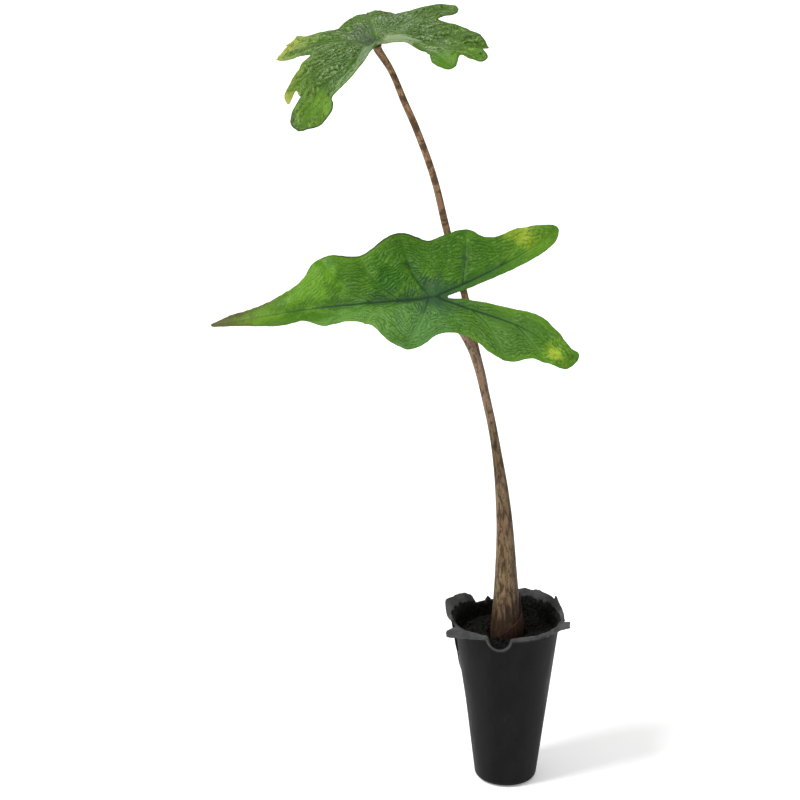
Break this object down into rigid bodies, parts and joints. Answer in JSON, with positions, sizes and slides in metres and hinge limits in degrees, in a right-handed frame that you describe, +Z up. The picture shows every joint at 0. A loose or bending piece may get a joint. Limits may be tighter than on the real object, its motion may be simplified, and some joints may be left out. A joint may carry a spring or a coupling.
{
  "type": "potted alocasia",
  "caption": "Young alocasia with an arrow-shaped lower leaf and a deeply lobed upper leaf on tall curved stalks, in a small tapered nursery pot of dark potting mix.",
  "frame": {"origin": "centre of the pot's flat underside, on the ground", "axes": "+Z up along the pot's axis, +X to the right of the front view, +Y to the back, away from the viewer"},
  "size_m": [0.1717, 0.1424, 0.3784],
  "materials": {
    "pot": "satin black moulded plastic",
    "potting_mix": "dark crumbly bark and peat",
    "corm": "rough brown skin",
    "basal_sheath": "dry reddish brown",
    "lower_leaf_petiole": "satin olive tan with dark streaks",
    "lower_leaf_blade": "satin green",
    "upper_leaf_petiole": "satin reddish tan with dark bands",
    "upper_leaf_blade": "satin green"
  },
  "bodies": {
    "root": {"pot": "pot", "potting_mix": "potting_mix", "corm": "corm", "basal_sheath": "basal_sheath", "lower_leaf_petiole": "lower_leaf_petiole", "lower_leaf_blade": "lower_leaf_blade", "upper_leaf_petiole": "upper_leaf_petiole", "upper_leaf_blade": "upper_leaf_blade"}
  },
  "joints": []
}
